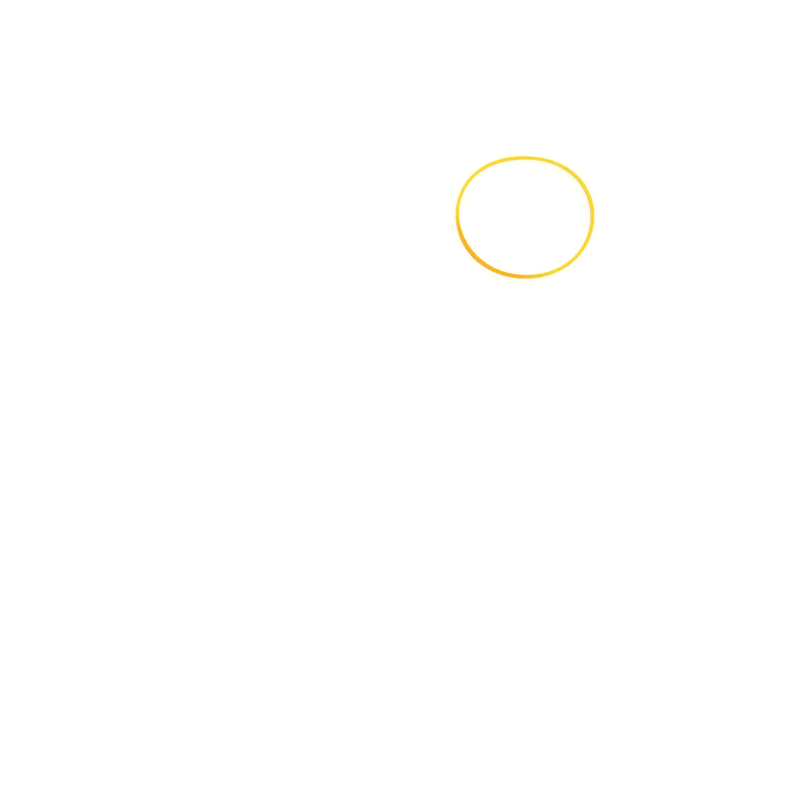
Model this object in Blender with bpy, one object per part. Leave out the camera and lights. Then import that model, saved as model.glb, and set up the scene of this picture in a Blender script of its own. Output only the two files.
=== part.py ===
# A rubber band of natural rubber, slack, as it lies on a table.
#
# The band is one piece. Such bands are sliced from a cured tube of rubber, so a band has four
# sides: an outer and an inner wall, which are the tube's own smooth skins, and two cut faces.
# The model is made in the same order. A section of the tube's wall is turned into a slice of
# tube, and the slice is then let down into the loop that a slack band falls into. The loop is a
# little longer than it is wide, and the band leans over on some stretches, so that one of its
# walls shows from above.
#
# Metres, +Z up. The table is at z = 0, and the origin is on it, in the middle of the loop.

import math
from collections import namedtuple

import bmesh
import bpy
import numpy as np
from mathutils import Matrix, Vector

# The slice as the knife leaves it.
INSIDE_DIAMETER = 0.050
WALL = 0.00135
CUT_WIDTH = 0.0020
EDGE_RADIUS = 0.00012

# The loop it falls into. A bulge is how far the loop stands out from a circle, once, twice or
# more times on its way round. A heading is a direction seen from above, in degrees from +X.
Bulge = namedtuple("Bulge", "times out heading")
BULGES = (
    Bulge(times=2, out=0.00163, heading=-3.3),
    Bulge(times=3, out=0.00022, heading=31.8),
    Bulge(times=4, out=0.00010, heading=-41.1),
)

# A stretch runs its reach to either side of its heading, and grows smoothly to its most.
Stretch = namedtuple("Stretch", "heading reach most")

# Where the band leans, and how far, in degrees: in over the loop, or out from it where negative.
LEANS = (
    Stretch(heading=210.0, reach=34.0, most=9.0),
    Stretch(heading=232.0, reach=62.0, most=5.0),
    Stretch(heading=76.0, reach=34.0, most=6.0),
    Stretch(heading=14.0, reach=34.0, most=-5.0),
)

# Where the band stands clear of the table, and how far, in metres.
LIFTS = (
    Stretch(heading=18.0, reach=50.0, most=0.0005),
    Stretch(heading=290.0, reach=35.0, most=0.0004),
)

# Facets: sections round the band, straight runs in each rounded edge, and samples of the loop.
SECTIONS = 180
EDGE_FACETS = 2
LOOP_SAMPLES = 3600

# Warm amber yellow, as linear colour.
RUBBER_COLOUR = (0.87, 0.56, 0.02, 1.0)
RUBBER_ROUGHNESS = 0.45
SHARP_ANGLE = math.radians(50.0)


def clear_scene():
    """Leaves no object in the scene."""
    for old in list(bpy.data.objects):
        bpy.data.objects.remove(old, do_unlink=True)


def rubber_material():
    """Makes the matt amber rubber."""
    material = bpy.data.materials.new("rubber")
    material.use_nodes = True
    shader = material.node_tree.nodes["Principled BSDF"]
    shader.inputs["Base Color"].default_value = RUBBER_COLOUR
    shader.inputs["Roughness"].default_value = RUBBER_ROUGHNESS
    shader.inputs["Metallic"].default_value = 0.0
    return material


def middle_radius():
    """Radius of the middle of the tube's wall."""
    return (INSIDE_DIAMETER + WALL) / 2


def cut_slice():
    """Turns a section of the tube's wall, with its edges eased, into a slice of tube."""
    mesh = bmesh.new()
    stand_up = Matrix.Rotation(math.pi / 2, 4, "X")
    to_wall = Matrix.Translation((middle_radius(), 0.0, 0.0))
    bmesh.ops.create_grid(mesh, x_segments=1, y_segments=1, size=0.5)
    bmesh.ops.scale(mesh, vec=(WALL, CUT_WIDTH, 1.0), verts=mesh.verts)
    bmesh.ops.bevel(
        mesh, geom=mesh.verts[:], offset=EDGE_RADIUS, offset_type="OFFSET", affect="VERTICES",
        segments=EDGE_FACETS, profile=0.5, clamp_overlap=True, material=-1,
    )
    bmesh.ops.transform(mesh, matrix=to_wall @ stand_up, verts=mesh.verts)
    bmesh.ops.delete(mesh, geom=mesh.faces[:], context="FACES_ONLY")
    bmesh.ops.spin(
        mesh, geom=mesh.edges[:], cent=(0.0, 0.0, 0.0), axis=(0.0, 0.0, 1.0), angle=2 * math.pi,
        steps=SECTIONS, use_merge=True, use_duplicate=False,
    )
    return mesh


def swell(heading, stretches):
    """Sum of the stretches at a heading in degrees: each is a smooth hump, and nothing outside it."""
    total = 0.0
    for stretch in stretches:
        away = abs((heading - stretch.heading + 180.0) % 360.0 - 180.0)
        if away < stretch.reach:
            total += stretch.most * (1 + math.cos(math.pi * away / stretch.reach)) / 2
    return total


def loop_points():
    """Points of the loop on the table, closed, as long as the middle of the tube's wall is round."""
    heading = np.linspace(0.0, 2 * math.pi, LOOP_SAMPLES + 1)
    radius = np.full_like(heading, middle_radius())
    for bulge in BULGES:
        radius += bulge.out * np.cos(bulge.times * (heading - math.radians(bulge.heading)))
    points = np.stack([radius * np.cos(heading), radius * np.sin(heading)], axis=1)
    length = np.hypot(*np.diff(points, axis=0).T).sum()
    return points * (2 * math.pi * middle_radius() / length)


class Loop:
    """The slack loop, read by how far round it one has gone, from 0 to 1."""

    def __init__(self):
        self.points = loop_points()
        steps = np.hypot(*np.diff(self.points, axis=0).T)
        self.gone = np.concatenate([[0.0], np.cumsum(steps)]) / steps.sum()

    def point(self, part):
        """The middle of the band, seen from above."""
        x, y = (np.interp(part % 1.0, self.gone, column) for column in self.points.T)
        return Vector((x, y, 0.0))

    def outward(self, part):
        """The level direction straight out of the loop."""
        step = 1.0 / LOOP_SAMPLES
        along = self.point(part + step) - self.point(part - step)
        return along.cross(Vector((0.0, 0.0, 1.0))).normalized()


def let_down(mesh):
    """Moves every section of the slice to its place on the slack loop, leaning as it lies there."""
    loop = Loop()
    up = Vector((0.0, 0.0, 1.0))
    sections = {}
    for vertex in mesh.verts:
        number = round(math.atan2(vertex.co.y, vertex.co.x) / (2 * math.pi) * SECTIONS) % SECTIONS
        across = math.hypot(vertex.co.x, vertex.co.y) - middle_radius()
        sections.setdefault(number, []).append((vertex, across, vertex.co.z))
    for number, corners in sections.items():
        part = number / SECTIONS
        middle = loop.point(part)
        outward = loop.outward(part)
        heading = math.degrees(math.atan2(middle.y, middle.x))
        lean = math.radians(swell(heading, LEANS))
        out = [across * math.cos(lean) - high * math.sin(lean) for _, across, high in corners]
        high = [across * math.sin(lean) + high * math.cos(lean) for _, across, high in corners]
        raise_by = swell(heading, LIFTS) - min(high)
        for (vertex, _, _), corner_out, corner_high in zip(corners, out, high):
            vertex.co = middle + outward * corner_out + up * (corner_high + raise_by)


def centre(mesh):
    """Puts the middle of the loop's box over the origin."""
    low = Vector([min(vertex.co[axis] for vertex in mesh.verts) for axis in range(3)])
    top = Vector([max(vertex.co[axis] for vertex in mesh.verts) for axis in range(3)])
    middle = (low + top) / 2
    bmesh.ops.translate(mesh, vec=(-middle.x, -middle.y, -low.z), verts=mesh.verts)


def rubber_band():
    """The finished band, as one object."""
    mesh = cut_slice()
    let_down(mesh)
    centre(mesh)
    bmesh.ops.recalc_face_normals(mesh, faces=mesh.faces)
    data = bpy.data.meshes.new("rubber_band")
    mesh.to_mesh(data)
    mesh.free()
    data.shade_smooth()
    data.set_sharp_from_angle(angle=SHARP_ANGLE)
    data.materials.append(rubber_material())
    band = bpy.data.objects.new("rubber_band", data)
    bpy.context.scene.collection.objects.link(band)
    return band


clear_scene()
rubber_band()
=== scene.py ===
# %% [markdown]
# # Dressing a slack rubber band
#
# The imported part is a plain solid: a ring of rubber that has dropped into a loose loop on a
# table. This notebook puts a finer band in its place, with the unevenness that cutting leaves and
# a cloudy rubber between yellow and amber, on a plain white table. Every length is in metres
# unless its name says otherwise, +Z is up, and the table is at z = 0.

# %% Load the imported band
import math
from collections import namedtuple

import bmesh
import bpy
import numpy as np
from mathutils import Matrix, Vector, noise


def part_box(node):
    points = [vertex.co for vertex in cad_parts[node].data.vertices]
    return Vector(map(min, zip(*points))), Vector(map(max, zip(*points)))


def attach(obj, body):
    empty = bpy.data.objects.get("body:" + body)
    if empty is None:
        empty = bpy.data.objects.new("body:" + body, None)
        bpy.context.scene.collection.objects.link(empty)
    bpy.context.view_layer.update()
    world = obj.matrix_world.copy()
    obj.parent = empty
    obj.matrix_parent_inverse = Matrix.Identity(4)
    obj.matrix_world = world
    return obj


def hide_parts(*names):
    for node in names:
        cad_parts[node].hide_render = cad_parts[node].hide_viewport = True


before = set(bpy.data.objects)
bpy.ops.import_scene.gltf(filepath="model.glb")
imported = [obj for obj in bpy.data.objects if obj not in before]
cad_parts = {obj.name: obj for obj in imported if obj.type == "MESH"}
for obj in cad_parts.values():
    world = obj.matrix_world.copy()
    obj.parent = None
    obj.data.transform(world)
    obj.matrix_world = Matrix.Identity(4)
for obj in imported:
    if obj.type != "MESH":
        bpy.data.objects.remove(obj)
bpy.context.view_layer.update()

MM = 1000.0
PLAIN = "rubber_band"
plain_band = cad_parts[PLAIN]
low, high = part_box(PLAIN)
size = high - low
middle = (low + high) / 2
print("the plain band is", [round(MM * side, 2) for side in size], "mm")

# %% [markdown]
# ## The camera
#
# The photograph looks straight down on a white table, and the band lies above and to the right of
# the middle of its frame. A camera over the middle of the frame could be an orthographic one,
# which would show the loop's outline just as well. A long lens is used instead, because from a
# camera that isn't right over the band a little of its wall shows beside the cut face, and the
# band in the photograph is wider on just those sides. The lens and the width of the table in view
# give the camera's height.

# %% Place the camera
PHOTO_SIDE = 800
METRES_PER_PIXEL = 0.000401
BAND_PIXEL = (525.0, 217.2)
LENS_MM = 85.0
SENSOR_MM = 36.0


def link(thing):
    """Puts an object in the scene."""
    bpy.context.scene.collection.objects.link(thing)
    return thing


camera_data = bpy.data.cameras.new("camera")
camera_data.lens = LENS_MM
camera_data.sensor_width = SENSOR_MM
camera = link(bpy.data.objects.new("camera", camera_data))
camera.location = (
    middle.x + (PHOTO_SIDE / 2 - BAND_PIXEL[0]) * METRES_PER_PIXEL,
    middle.y - (PHOTO_SIDE / 2 - BAND_PIXEL[1]) * METRES_PER_PIXEL,
    middle.z + PHOTO_SIDE * METRES_PER_PIXEL * LENS_MM / SENSOR_MM,
)
bpy.context.scene.camera = camera
bpy.context.scene.view_settings.view_transform = "Standard"
print("the camera is", round(camera.location.z, 3), "m over the table")

# %% [markdown]
# ## Small helpers for materials
#
# A material is a tree of nodes. Written out one call at a time, such a tree is long and hard to
# follow, so a few helpers shorten it. They add a node and fill in its inputs, do a sum, turn a
# value into a mask that rises smoothly from 0 to 1, and mix two colours. One more starts an empty
# material, and the last tells what is seen from what only carries light.


# %% Helpers for node trees
def add(tree, kind, inputs=None, **settings):
    """Adds a node. Each input is given a number or a colour, or is linked from a socket."""
    node = tree.nodes.new(kind)
    for name, value in settings.items():
        setattr(node, name, value)
    for name, value in (inputs or {}).items():
        if isinstance(value, bpy.types.NodeSocket):
            tree.links.new(value, node.inputs[name])
        else:
            node.inputs[name].default_value = value
    return node


def calculate(tree, operation, first, second=0.0):
    """One sum on two values, clamped to no range."""
    return add(tree, "ShaderNodeMath", {0: first, 1: second}, operation=operation).outputs[0]


def rise(tree, value, start, end):
    """A mask: 0 up to start, 1 from end on, and a smooth rise between."""
    node = add(
        tree, "ShaderNodeMapRange", {"Value": value, "From Min": start, "From Max": end},
        interpolation_type="SMOOTHSTEP",
    )
    return node.outputs["Result"]


def blend_colours(tree, mask, first, second):
    """The first colour where the mask is 0, and the second where it is 1.

    A Mix node has sockets for numbers, vectors and colours, and several share a name. So they are
    counted: input 0 is the mask, and the colours are inputs 6 and 7 and output 2.
    """
    node = add(tree, "ShaderNodeMix", {0: mask, 6: first, 7: second}, data_type="RGBA")
    return node.outputs[2]


def blank_material(name):
    """A material with an output and nothing else."""
    material = bpy.data.materials.new(name)
    material.use_nodes = True
    tree = material.node_tree
    tree.nodes.clear()
    return material, tree, add(tree, "ShaderNodeOutputMaterial")


def seen_directly(tree):
    """1 for rays from the camera, and for what gloss and clear things show, and 0 for light."""
    path = add(tree, "ShaderNodeLightPath").outputs
    seen = calculate(tree, "MAXIMUM", path["Is Camera Ray"], path["Is Glossy Ray"])
    return calculate(tree, "MAXIMUM", seen, path["Is Transmission Ray"])


print("helpers ready")

# %% [markdown]
# ## Light
#
# The photograph is lit softly from above, a little from the upper right, for the shadows on the
# table are pale and wide and lie to the lower left. An area lamp would do that, but its light
# fades with distance, so a wide floor would be grey at its far side. A sun lamp with a large angle
# is as soft and lights every place alike. The world is the fill light. Where it is seen directly
# it is plain white, whatever the strength of the fill.

# %% Sun and world
SUN_FROM = Vector((0.55, 0.50, 1.0))
SUN_ANGLE = math.radians(40.0)
SUN_STRENGTH = 0.50
FILL_STRENGTH = 0.872
WHITE = (1.0, 1.0, 1.0, 1.0)

sun_data = bpy.data.lights.new("sun", "SUN")
sun_data.energy = SUN_STRENGTH
sun_data.angle = SUN_ANGLE
sun = link(bpy.data.objects.new("sun", sun_data))
sun.rotation_euler = SUN_FROM.to_track_quat("Z", "Y").to_euler()

world = bpy.data.worlds.new("studio")
bpy.context.scene.world = world
world.use_nodes = True
tree = world.node_tree
tree.nodes.clear()
strength = calculate(tree, "MAXIMUM", seen_directly(tree), FILL_STRENGTH)
background = add(tree, "ShaderNodeBackground", {"Color": WHITE, "Strength": strength})
add(tree, "ShaderNodeOutputWorld", {"Surface": background.outputs[0]})
print("sun from", [round(part, 2) for part in SUN_FROM.normalized()])

# %% [markdown]
# ## The table
#
# The table is pure white in the photograph, and the shadows on it are pale and warm. A plain white
# surface would need so much light to look pure white that the band would be washed out. So the
# table has two sides to it. To the light it is an ordinary pale surface. To the eye, most of its
# white is its own, which thins the band's shadow but keeps it. The lit share holds more blue than
# red, so where the band takes light away the table turns warm, as it does under a real band, which
# lets yellow light through.

# %% Table
TABLE_RADIUS = 30.0
TABLE_SIDES = 64
TABLE_COLOUR = (0.88, 0.88, 0.88, 1.0)
LIT_SHARE = (0.09, 0.17, 0.45, 1.0)
OWN_SHARE = (0.92, 0.85, 0.58, 1.0)

shape = bmesh.new()
bmesh.ops.create_circle(shape, cap_ends=True, radius=TABLE_RADIUS, segments=TABLE_SIDES)
table_mesh = bpy.data.meshes.new("table")
shape.to_mesh(table_mesh)
shape.free()
table = link(bpy.data.objects.new("table", table_mesh))

material, tree, output = blank_material("table")
to_light = add(tree, "ShaderNodeBsdfDiffuse", {"Color": TABLE_COLOUR})
lit_part = add(tree, "ShaderNodeBsdfDiffuse", {"Color": LIT_SHARE})
own_part = add(tree, "ShaderNodeEmission", {"Color": OWN_SHARE, "Strength": 1.0})
to_eye = add(tree, "ShaderNodeAddShader", {0: lit_part.outputs[0], 1: own_part.outputs[0]})
surface = add(
    tree, "ShaderNodeMixShader", {0: seen_directly(tree), 1: to_light.outputs[0], 2: to_eye.outputs[0]}
)
tree.links.new(surface.outputs[0], output.inputs["Surface"])
table_mesh.materials.append(material)
print("table radius", TABLE_RADIUS, "m")

# %% [markdown]
# ## Reading the band's course from the solid
#
# The fine band has to lie just where the plain one lies: as wide, as thick, leaning as much on the
# same stretches, and as far off the table. The same few numbers could be written here again, but
# then there would be two copies to keep alike. Instead, the solid is cut by upright planes through
# the middle of the loop, the way one would slice it to look at its section. Each section gives the
# band's middle, its wall and cut width, and from the direction in which it is longest its lean.


# %% Cut the solid into sections
STATIONS = 180
HALF_STEP = math.pi / STATIONS
CUT_TOLERANCE = 1e-8
MERGE_DISTANCE = 1e-6


def section_edges(solid, heading):
    """Edges of the section that an upright plane at a heading leaves, as (out, up) point pairs."""
    outward = Vector((math.cos(heading), math.sin(heading), 0.0))
    cut = solid.copy()
    everything = cut.verts[:] + cut.edges[:] + cut.faces[:]
    sideways = Vector((-outward.y, outward.x, 0.0))
    found = bmesh.ops.bisect_plane(
        cut, geom=everything, dist=CUT_TOLERANCE, plane_co=(0, 0, 0), plane_no=sideways
    )
    # The plane meets the loop on both sides of its middle, and only the side at the heading counts.
    pairs = []
    for edge in found["geom_cut"]:
        if isinstance(edge, bmesh.types.BMEdge):
            ends = [(corner.co.dot(outward), corner.co.z) for corner in edge.verts]
            if ends[0][0] > 0:
                pairs.append(ends)
    cut.free()
    return np.array(pairs)


def read_section(pairs):
    """The section's middle (out, up), its lean, its wall and its cut width.

    The lean is that of the direction in which the outline spreads furthest. A straight edge adds
    its middle's spread, and a twelfth of its own length squared.
    """
    run = pairs[:, 1] - pairs[:, 0]
    length = np.hypot(*run.T)
    halfway = pairs.mean(axis=1)
    centre = (halfway * length[:, None]).sum(axis=0) / length.sum()
    off = halfway - centre
    spread_of_middles = np.einsum("n,ni,nj->ij", length, off, off)
    spread_of_lengths = np.einsum("n,ni,nj->ij", length, run, run) / 12
    spread = spread_of_middles + spread_of_lengths
    lean = math.atan2(-2 * spread[0, 1], spread[1, 1] - spread[0, 0]) / 2
    across = np.array([math.cos(lean), math.sin(lean)])
    along = np.array([-math.sin(lean), math.cos(lean)])
    corners = pairs.reshape(-1, 2)
    return [*centre, lean, np.ptp(corners @ across), np.ptp(corners @ along)]


solid = bmesh.new()
solid.from_mesh(plain_band.data)
bmesh.ops.remove_doubles(solid, verts=solid.verts, dist=MERGE_DISTANCE)
headings = [HALF_STEP + 2 * math.pi * number / STATIONS for number in range(STATIONS)]
course = np.array([read_section(section_edges(solid, heading)) for heading in headings])
solid.free()
out_course, up_course, lean_course, wall_course, width_course = course.T
wall = wall_course.mean()
cut_width = width_course.mean()
ring_radius = out_course.mean()
leans = np.degrees(lean_course)
print("wall", round(MM * wall, 3), "mm, cut width", round(MM * cut_width, 3), "mm")
print("lean", leans.min().round(1), "to", leans.max().round(1), "degrees")

# %% [markdown]
# ## A fine slice of tube
#
# A band starts as a slice of a tube, so the fine band does too. A section of the tube's wall is
# drawn as a square of one metre that is scaled to its size, its corners are rounded, its sides are
# divided, and the outline is spun once round. Shaping a torus would be shorter, but a torus has a
# round section, and a cut band has four flat sides with eased edges.

# %% Draw the section
HALF_SQUARE = 0.5
EDGE_RADIUS = 0.00012
EDGE_SEGMENTS = 4
FACET = 0.00020

ring = bmesh.new()
bmesh.ops.create_grid(ring, x_segments=1, y_segments=1, size=HALF_SQUARE)
bmesh.ops.scale(ring, vec=(wall, cut_width, 1.0), verts=ring.verts)
bmesh.ops.bevel(
    ring, geom=ring.verts[:], offset=EDGE_RADIUS, offset_type="OFFSET", affect="VERTICES",
    segments=EDGE_SEGMENTS, profile=0.5, material=-1,
)
bmesh.ops.delete(ring, geom=ring.faces[:], context="FACES_ONLY")
for side in [edge for edge in ring.edges if edge.calc_length() > 2 * FACET]:
    cuts = round(side.calc_length() / FACET) - 1
    bmesh.ops.subdivide_edges(ring, edges=[side], cuts=cuts)
print("the section has", len(ring.verts), "corners")

# %% [markdown]
# ## Once round
#
# A spin adds each step to the whole mesh so far, so 1440 fine steps take far longer than 120
# coarse ones that are divided afterwards. Dividing puts the new corners on straight lines between
# the old ones, a hair inside the ring. Each corner notes its place in the section before that, and
# is moved out to the true radius after it.

# %% Spin the section into a slice
SPIN_STEPS = 120
CUTS_PER_STEP = 11
STEPS_ROUND = SPIN_STEPS * (CUTS_PER_STEP + 1)

section_place = ring.verts.layers.float_vector.new("section_place")
for corner in ring.verts:
    corner[section_place] = (2 * corner.co.x / wall, 2 * corner.co.y / cut_width, 0.0)
stand_up = Matrix.Translation((ring_radius, 0, 0)) @ Matrix.Rotation(math.pi / 2, 4, "X")
bmesh.ops.transform(ring, matrix=stand_up, verts=ring.verts)
bmesh.ops.spin(
    ring, geom=ring.edges[:], cent=(0, 0, 0), axis=(0, 0, 1), angle=2 * math.pi, steps=SPIN_STEPS,
    use_merge=True, use_duplicate=False,
)
step_length = 2 * math.pi * ring_radius / SPIN_STEPS
lengthwise = [edge for edge in ring.edges if edge.calc_length() > step_length / 2]
bmesh.ops.subdivide_edges(ring, edges=lengthwise, cuts=CUTS_PER_STEP, use_grid_fill=True)
bmesh.ops.recalc_face_normals(ring, faces=ring.faces)
print("the slice has", len(ring.verts), "corners and", len(ring.faces), "faces")

# %% [markdown]
# ## Remembering where the rubber came from
#
# The marks on a band follow its making: lines on the walls run the way the tube was drawn, and
# lines on the cut faces run the way the knife went. So each corner keeps three notes, as mesh
# attributes that the material reads. Its place in the section runs from -1 to 1, across the wall
# and along the cut width. Its place in the tube is in millimetres, before the band is let down.
# Its tone is 1 on a stretch of painted shade and -1 on a stretch of painted highlight, for the
# photograph shows one stretch of the band as a deeper amber than the rest, where the band turns
# from the light, and the stretch next to it as a paler yellow, where a highlight falls.

# %% Write the notes on the slice
Stretch = namedtuple("Stretch", "heading level reach")
# Painted shade: a deeper amber stretch. Painted highlight: a paler yellow stretch beside it.
PAINTED_SHADE_STRETCH = Stretch(heading=230.0, level=20.0, reach=72.0)
PAINTED_HIGHLIGHT_STRETCH = Stretch(heading=147.0, level=8.0, reach=42.0)


def share_of(stretch, heading):
    """1 where the stretch is level, 0 past its reach, and a smooth change between, in degrees."""
    away = abs((heading - stretch.heading + 180.0) % 360.0 - 180.0)
    part = min(1.0, max(0.0, (stretch.reach - away) / (stretch.reach - stretch.level)))
    return part * part * (3 - 2 * part)


tube_place = ring.verts.layers.float_vector.new("tube_place")
painted_light_tone = ring.verts.layers.float.new("painted_light_tone")
for corner in ring.verts:
    heading = math.atan2(corner.co.y, corner.co.x)
    radius = ring_radius + corner[section_place].x * wall / 2
    corner.co = (radius * math.cos(heading), radius * math.sin(heading), corner.co.z)
    corner[tube_place] = corner.co * MM
    degrees = math.degrees(heading)
    # The tone: 1 for painted shade, -1 for a painted highlight.
    corner[painted_light_tone] = share_of(PAINTED_SHADE_STRETCH, degrees) - share_of(PAINTED_HIGHLIGHT_STRETCH, degrees)
print("notes written on", len(ring.verts), "corners")

# %% [markdown]
# ## The unevenness that cutting leaves
#
# No slice is even. The tube's bore is a little off centre, so the wall is thicker on one side. The
# rubber bulges under the blade and springs back, which leaves the cut faces very slightly hollow.
# The blade wavers, so the cut width swells and shrinks, and it chatters, which leaves low ripples
# on the cut faces and a slightly ragged edge with a nick here and there. The waver, the ripples,
# the ragged edge and the nicks are smooth noise, read at a place in the tube, so neighbouring
# corners move alike and the ring closes. What belongs to one face fades off it with a high power
# of the place in the section.

# %% Make the slice uneven
BORE_OFFSET = 0.000035
BORE_HEADING = math.radians(255.0)
HOLLOW = 0.000018
WAVER = 0.000050
WAVER_PER_MM = 0.16
WAVER_SEED = 10.0
CHATTER = 0.000022
CHATTER_PER_MM = 1.1
CHATTER_SEED = 20.0
RAGGED = 0.000035
RAGGED_PER_MM = 1.6
RAGGED_SEED = 3.1
NICK = 0.00009
NICKS_PER_MM = 0.55
NICK_FROM = 0.42
NICK_SEED = 40.0
FADE = 8


def wave(place, per_mm, seed):
    """Smooth noise between about -1 and 1, at a place in the tube in millimetres.

    The seed moves the place to another part of the noise, so no two of the marks are alike.
    """
    return noise.noise(place * per_mm + Vector((seed, seed, seed)))


for corner in ring.verts:
    place = corner[tube_place]
    across, along = corner[section_place].xy
    radial = Vector((place.x, place.y, 0.0)).normalized()
    heading = math.atan2(radial.y, radial.x)
    on_cut = abs(along) ** FADE
    on_wall = abs(across) ** FADE
    cut_side = math.copysign(1.0, along)
    wall_side = math.copysign(1.0, across)
    thicker = BORE_OFFSET * math.cos(heading - BORE_HEADING) * across
    ragged = RAGGED * wave(place, RAGGED_PER_MM, RAGGED_SEED) * on_cut * on_wall
    nick = NICK * max(0.0, wave(place, NICKS_PER_MM, NICK_SEED) - NICK_FROM) / (1 - NICK_FROM)
    ragged -= nick * on_cut * on_wall
    hollow = -HOLLOW * (1 - across * across) * on_cut
    waver = WAVER * wave(radial * ring_radius * MM, WAVER_PER_MM, WAVER_SEED + cut_side)
    chatter = CHATTER * wave(place, CHATTER_PER_MM, CHATTER_SEED + cut_side) * on_cut
    corner.co += radial * (thicker + wall_side * ragged)
    corner.co.z += cut_side * abs(along) * (hollow + waver + chatter + ragged)
print("the blade wavered by up to", round(WAVER * MM, 3), "mm")

# %% [markdown]
# ## Letting the slice down on the table
#
# Each corner now moves from the round slice to the course that was read from the solid. The 180
# sections are too few for a smooth band, and straight lines between them would show as facets in
# the gloss. The course is a closed loop, so each of its values is a wave that repeats, and a
# Fourier series with two dozen terms follows it smoothly. No corner goes lower than a hundredth of
# a millimetre over the table, so the two surfaces never lie in one plane.

# %% Lay the band
TERMS = 24
REST_GAP = 0.00001


def smooth_values(values):
    """The Fourier terms of values given at the stations, without the finest ones."""
    terms = np.fft.rfft(values) / STATIONS
    return terms[:TERMS]


def at_heading(terms, heading):
    """The value of a smoothed course at a heading in radians."""
    turns = np.exp(1j * np.arange(TERMS) * (heading - HALF_STEP))
    return float((terms[0] + 2 * (terms[1:] * turns[1:]).sum()).real)


smooth_course = [smooth_values(values) for values in (out_course, up_course, lean_course)]
# The corners of one step share a heading, so their place on the course is worked out once.
course_at_step = {}
for corner in ring.verts:
    heading = math.atan2(corner.co.y, corner.co.x)
    step = round(heading / (2 * math.pi) * STEPS_ROUND) % STEPS_ROUND
    if step not in course_at_step:
        course_at_step[step] = [at_heading(terms, heading) for terms in smooth_course]
    out, up, lean = course_at_step[step]
    radial = Vector((math.cos(heading), math.sin(heading), 0.0))
    across = math.hypot(corner.co.x, corner.co.y) - ring_radius
    along = corner.co.z
    place_out = out + across * math.cos(lean) - along * math.sin(lean)
    place_up = up + across * math.sin(lean) + along * math.cos(lean)
    corner.co = radial * place_out + Vector((0, 0, max(place_up, REST_GAP)))
band_mesh = bpy.data.meshes.new("band")
ring.to_mesh(band_mesh)
ring.free()
band_mesh.shade_smooth()
band = link(bpy.data.objects.new("band", band_mesh))
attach(band, "root")
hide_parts(PLAIN)
print("the band has", len(band_mesh.vertices), "corners")

# %% [markdown]
# ## The rubber
#
# Natural rubber is a warm, slightly cloudy yellow. Light goes in, scatters about a millimetre and
# comes out again, deeper in colour the further it went, so thin edges look pale yellow and shaded
# sides amber. Painting that on would freeze it, so the shader's subsurface scattering does much of
# it. The colour still paints part of it on: a painted highlight on the thin edges, and painted
# shade that deepens the walls, the knife grooves and the middle of each face towards amber. The
# first cell sorts the surface into walls, cut faces and edges, from each corner's place in the
# section.

# %% Where the walls, the cut faces and the edges are
WALL_RANGE = (0.82, 0.96)
CUT_RANGE = (0.89, 0.99)
NEAR_WALL_RANGE = (0.45, 1.0)
NEAR_CUT_RANGE = (0.62, 1.0)

material, tree, output = blank_material("rubber")
place = add(tree, "ShaderNodeAttribute", attribute_name="tube_place").outputs["Vector"]
section = add(tree, "ShaderNodeAttribute", attribute_name="section_place").outputs["Vector"]
painted_light_here = add(tree, "ShaderNodeAttribute", attribute_name="painted_light_tone").outputs["Fac"]
# Painted shade on one stretch and a painted highlight on the next, both read from the tone.
painted_shade = calculate(tree, "MAXIMUM", painted_light_here, 0.0)
painted_highlight = calculate(tree, "MAXIMUM", calculate(tree, "MULTIPLY", painted_light_here, -1.0), 0.0)
parts = add(tree, "ShaderNodeSeparateXYZ", {"Vector": section}).outputs
off_middle = calculate(tree, "ABSOLUTE", parts["X"])
off_centre = calculate(tree, "ABSOLUTE", parts["Y"])
walls = rise(tree, off_middle, *WALL_RANGE)
cut_faces = rise(tree, off_centre, *CUT_RANGE)
near_wall = rise(tree, off_middle, *NEAR_WALL_RANGE)
near_cut = rise(tree, off_centre, *NEAR_CUT_RANGE)
# The thin corners, where a highlight is painted on.
thin_corner = calculate(tree, "MULTIPLY", near_wall, near_cut)
print("the surface is sorted")

# %% [markdown]
# ## Marks of making
#
# The die draws faint lines down the tube, so they cross the band's walls from one cut face to the
# other: a noise that hardly changes along the tube. The knife leaves lines that run the long way
# on the cut faces and drift from one wall towards the other: a noise that changes fast across the
# wall and slowly round the ring. A wave texture would be more regular than either. A third, fine
# noise is the rubber's own grain.

# %% Draw lines, knife lines and grain
DRAW_SQUASH = (1.0, 1.0, 0.05)
DRAW_PER_MM = 1.2
KNIFE_ACROSS_PER_MM = 2.8
KNIFE_ROUND_PER_MM = 0.25
DRIFT_MM = 1.2
DRIFT_PER_MM = 0.09
GRAIN_PER_MM = 5.0
LEVEL = (1.0, 1.0, 0.0)


def on_vectors(tree, operation, first, second=(0.0, 0.0, 0.0)):
    """One sum on two vectors."""
    return add(tree, "ShaderNodeVectorMath", {0: first, 1: second}, operation=operation).outputs


def noise_at(tree, vector, per_mm, detail, roughness=0.5):
    """Noise between 0 and 1 at a place in millimetres."""
    inputs = {"Vector": vector, "Scale": per_mm, "Detail": detail, "Roughness": roughness}
    return add(tree, "ShaderNodeTexNoise", inputs).outputs["Fac"]


squashed = on_vectors(tree, "MULTIPLY", place, DRAW_SQUASH)["Vector"]
draw_lines = noise_at(tree, squashed, DRAW_PER_MM, detail=5.0, roughness=0.62)

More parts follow.
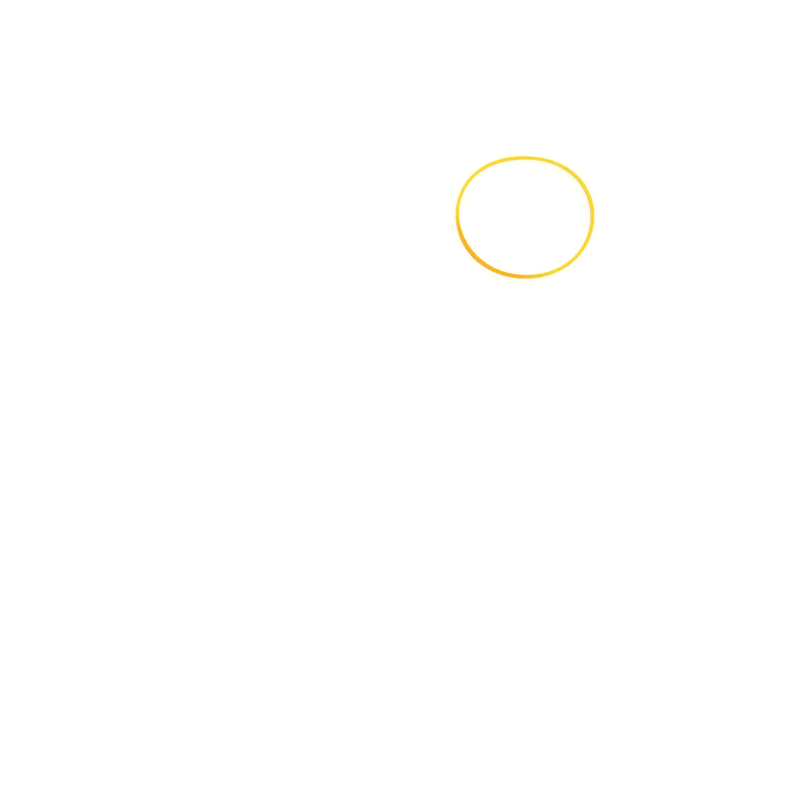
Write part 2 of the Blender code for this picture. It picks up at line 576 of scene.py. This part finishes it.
level = on_vectors(tree, "MULTIPLY", place, LEVEL)["Vector"]
from_axis = on_vectors(tree, "LENGTH", level)["Value"]
slow_noise = noise_at(tree, level, DRIFT_PER_MM, detail=1.0)
drift = calculate(tree, "MULTIPLY", slow_noise, DRIFT_MM)
drifted = calculate(tree, "ADD", from_axis, drift)
knife_path = calculate(tree, "MULTIPLY", drifted, KNIFE_ACROSS_PER_MM)
knife_squash = (KNIFE_ROUND_PER_MM, KNIFE_ROUND_PER_MM, 0.0)
slow = on_vectors(tree, "MULTIPLY", place, knife_squash)["Vector"]
slow_parts = add(tree, "ShaderNodeSeparateXYZ", {"Vector": slow}).outputs
knife_place = add(
    tree, "ShaderNodeCombineXYZ", {"X": slow_parts["X"], "Y": slow_parts["Y"], "Z": knife_path}
).outputs["Vector"]
knife_lines = noise_at(tree, knife_place, per_mm=1.0, detail=3.0, roughness=0.6)
grain = noise_at(tree, place, GRAIN_PER_MM, detail=2.0)
print("marks drawn")

# %% [markdown]
# ## Yellow and amber
#
# A cut face is a bright yellow. A wall is deeper in colour: partly because it is the tube's skin and
# is seen through more rubber, partly as painted shade, for the walls are the band's sides and get
# less of the light from above. On one stretch of the band both turn to amber, as the photograph
# shows; that stretch is painted shade. One mask mixes each pair of colours: it adds up the stretch
# of painted shade, slow clouds in the rubber, the draw lines on the walls, painted shade in the
# knife grooves, and painted shade in the middle of each face, where light has the furthest to come
# from an edge. A painted picture could do this too, but it wouldn't follow the marks.

# %% Mix yellow and amber
YELLOW = (0.905, 0.740, 0.024, 1.0)
AMBER = (0.885, 0.490, 0.006, 1.0)
# The walls are deeper amber: partly the skin's own colour, partly painted shade on the sides.
SKIN_AND_SHADE_YELLOW = (0.985, 0.640, 0.009, 1.0)
SKIN_AND_SHADE_AMBER = (0.970, 0.440, 0.003, 1.0)
CLOUDS_PER_MM = 0.20
CLOUD_RANGE = (0.35, 0.70)
CLOUD_SHARE = 0.12
DRAW_RANGE = (0.45, 0.75)
DRAW_SHARE = 0.32
KNIFE_GROOVE_RANGE = (0.35, 0.60)
KNIFE_GROOVE_SHADE = 0.16
MIDDLE_RANGE = (0.30, 0.95)
WALL_MIDDLE_SHADE = 0.30
CUT_MIDDLE_SHADE = 0.12


def times(tree, value, share):
    """A value or mask taken so many times."""
    return calculate(tree, "MULTIPLY", value, share)


def total(tree, *values):
    """The sum of values or masks."""
    result = values[0]
    for value in values[1:]:
        result = calculate(tree, "ADD", result, value)
    return result


def opposite(tree, mask):
    """1 where the mask is 0, and 0 where it is 1."""
    return calculate(tree, "SUBTRACT", 1.0, mask)


clouds = rise(tree, noise_at(tree, place, CLOUDS_PER_MM, detail=3.0), *CLOUD_RANGE)
draw_grooves = times(tree, rise(tree, draw_lines, *DRAW_RANGE), walls)
# Painted shade in the knife grooves: the low places of the knife lines turn amber.
knife_groove_shade = times(tree, opposite(tree, rise(tree, knife_lines, *KNIFE_GROOVE_RANGE)), cut_faces)
# Painted shade: deeper amber in the middle of each face, where light has furthest to come.
wall_middle_shade = times(tree, opposite(tree, rise(tree, off_centre, *MIDDLE_RANGE)), walls)
cut_middle_shade = times(tree, opposite(tree, rise(tree, off_middle, *MIDDLE_RANGE)), cut_faces)
amber_share = total(
    tree, painted_shade, times(tree, clouds, CLOUD_SHARE), times(tree, draw_grooves, DRAW_SHARE),
    times(tree, knife_groove_shade, KNIFE_GROOVE_SHADE), times(tree, wall_middle_shade, WALL_MIDDLE_SHADE),
    times(tree, cut_middle_shade, CUT_MIDDLE_SHADE),
)
amber_share = calculate(tree, "MINIMUM", amber_share, 1.0)
cut_colour = blend_colours(tree, amber_share, YELLOW, AMBER)
# The walls take the deeper colour, partly painted shade.
skin_and_shade_colour = blend_colours(tree, amber_share, SKIN_AND_SHADE_YELLOW, SKIN_AND_SHADE_AMBER)
clean_colour = blend_colours(tree, walls, cut_colour, skin_and_shade_colour)
print("yellow and amber mixed")

# %% [markdown]
# ## Painted edge highlight, powder and specks
#
# Used rubber isn't quite clean. The knife has scuffed the tops of its lines, and patches of the
# powder that keeps bands from sticking are left on it. The thin corners are given a painted
# highlight, uneven along the band, for the light that comes through the rubber there. All three
# are the clean colour made paler, a little warmer on the walls than on the cut faces, and they
# hardly show on the stretch of painted shade. The stretch of painted highlight is made paler in
# the same way. They could be a second material over the first, but then no mask would hold for
# both. A few fine dark specks of bark are in the rubber itself: the cells of a Voronoi texture,
# seen only near their centres.

# %% Make the pale places and the specks
PALE = (0.935, 0.815, 0.170, 1.0)
SKIN_PALE = (0.980, 0.710, 0.090, 1.0)
BARK = (0.330, 0.150, 0.015, 1.0)
# The edge light is a painted highlight on the thin corners.
EDGE_LIGHT_PER_MM = 1.1
EDGE_LIGHT_RANGE = (0.30, 0.70)
EDGE_LIGHT_LEAST = 0.35
EDGE_LIGHT_SHARE = 0.52
SCUFF_RANGE = (0.50, 0.80)
SCUFF_SHARE = 0.24
POWDER_PER_MM = 0.45
POWDER_RANGE = (0.52, 0.78)
POWDER_SHARE = 0.22
# How far painted shade hides the pale places, and how much paler the painted highlight is.
PAINTED_SHADE_HIDES = 0.8
PAINTED_HIGHLIGHT_SHARE = 0.22
SPECKS_PER_MM = 0.42
SPECK_RANGE = (0.022, 0.045)
SPECK_SHARE = 0.45

# Painted highlight on the thin corners, broken up by a noise.
uneven = noise_at(tree, place, EDGE_LIGHT_PER_MM, detail=4.0, roughness=0.6)
breaks = total(tree, rise(tree, uneven, *EDGE_LIGHT_RANGE), EDGE_LIGHT_LEAST)
painted_edge_light = times(tree, times(tree, thin_corner, breaks), EDGE_LIGHT_SHARE)
scuffs = times(tree, times(tree, rise(tree, knife_lines, *SCUFF_RANGE), cut_faces), SCUFF_SHARE)
patches = noise_at(tree, place, POWDER_PER_MM, detail=5.0, roughness=0.65)
powder = times(tree, rise(tree, patches, *POWDER_RANGE), POWDER_SHARE)
pale_share = calculate(tree, "MAXIMUM", calculate(tree, "MAXIMUM", painted_edge_light, scuffs), powder)
# The pale places hardly show on the painted shade, and the painted highlight is made paler.
pale_share = times(tree, pale_share, opposite(tree, times(tree, painted_shade, PAINTED_SHADE_HIDES)))
pale_share = calculate(tree, "MAXIMUM", pale_share, times(tree, painted_highlight, PAINTED_HIGHLIGHT_SHARE))
pale_colour = blend_colours(tree, walls, PALE, SKIN_PALE)
colour = blend_colours(tree, pale_share, clean_colour, pale_colour)

cells = add(tree, "ShaderNodeTexVoronoi", {"Vector": place, "Scale": SPECKS_PER_MM}).outputs["Distance"]
specks = times(tree, opposite(tree, rise(tree, cells, *SPECK_RANGE)), SPECK_SHARE)
colour = blend_colours(tree, specks, colour, BARK)
print("rubber colour ready")

# %% [markdown]
# ## Finish
#
# The walls were moulded smooth, so they are less dull than the cut faces, the painted edge
# highlight and the powder. All of it mirrors little: with more gloss the white room would turn the
# walls grey where they are seen at a slant, and the photograph has no such grey. The marks are far
# too shallow for the mesh, a hundredth of a millimetre or so, and so they are bump: each is given
# its depth in metres, and together they go through one Bump node. Light goes into the rubber,
# scatters and comes out again nearby. Red light goes furthest, so shaded sides look warm. The
# shader's subsurface scattering does this, and painted shade in the colour adds to it. A little
# over two thirds of the scattering is used, because at full strength a band this thin turns out
# grainy.

# %% Rubber finish
WALL_ROUGHNESS = 0.48
CUT_ROUGHNESS = 0.64
EDGE_LIGHT_ROUGHNESS = 0.18
POWDER_ROUGHNESS = 0.50
DRAW_DEPTH = 0.000040
KNIFE_DEPTH = 0.000040
GRAIN_DEPTH = 0.000005
GLOSS = 0.05
SCATTER_SHARE = 0.70
SCATTER_REACH = 0.0014
SCATTER_BY_COLOUR = (1.0, 0.70, 0.30)

roughness = total(
    tree, times(tree, cut_faces, CUT_ROUGHNESS - WALL_ROUGHNESS), times(tree, painted_edge_light, EDGE_LIGHT_ROUGHNESS),
    times(tree, powder, POWDER_ROUGHNESS), WALL_ROUGHNESS,
)
height = total(
    tree, times(tree, times(tree, draw_lines, walls), DRAW_DEPTH),
    times(tree, times(tree, knife_lines, cut_faces), KNIFE_DEPTH), times(tree, grain, GRAIN_DEPTH),
)
relief = add(tree, "ShaderNodeBump", {"Height": height, "Distance": 1.0, "Strength": 1.0})
shader = add(
    tree, "ShaderNodeBsdfPrincipled",
    {"Base Color": colour, "Roughness": roughness, "Normal": relief.outputs["Normal"],
     "Specular IOR Level": GLOSS, "Subsurface Weight": SCATTER_SHARE,
     "Subsurface Scale": SCATTER_REACH, "Subsurface Radius": SCATTER_BY_COLOUR},
)
tree.links.new(shader.outputs[0], output.inputs["Surface"])
band_mesh.materials.append(material)
print("rubber ready")
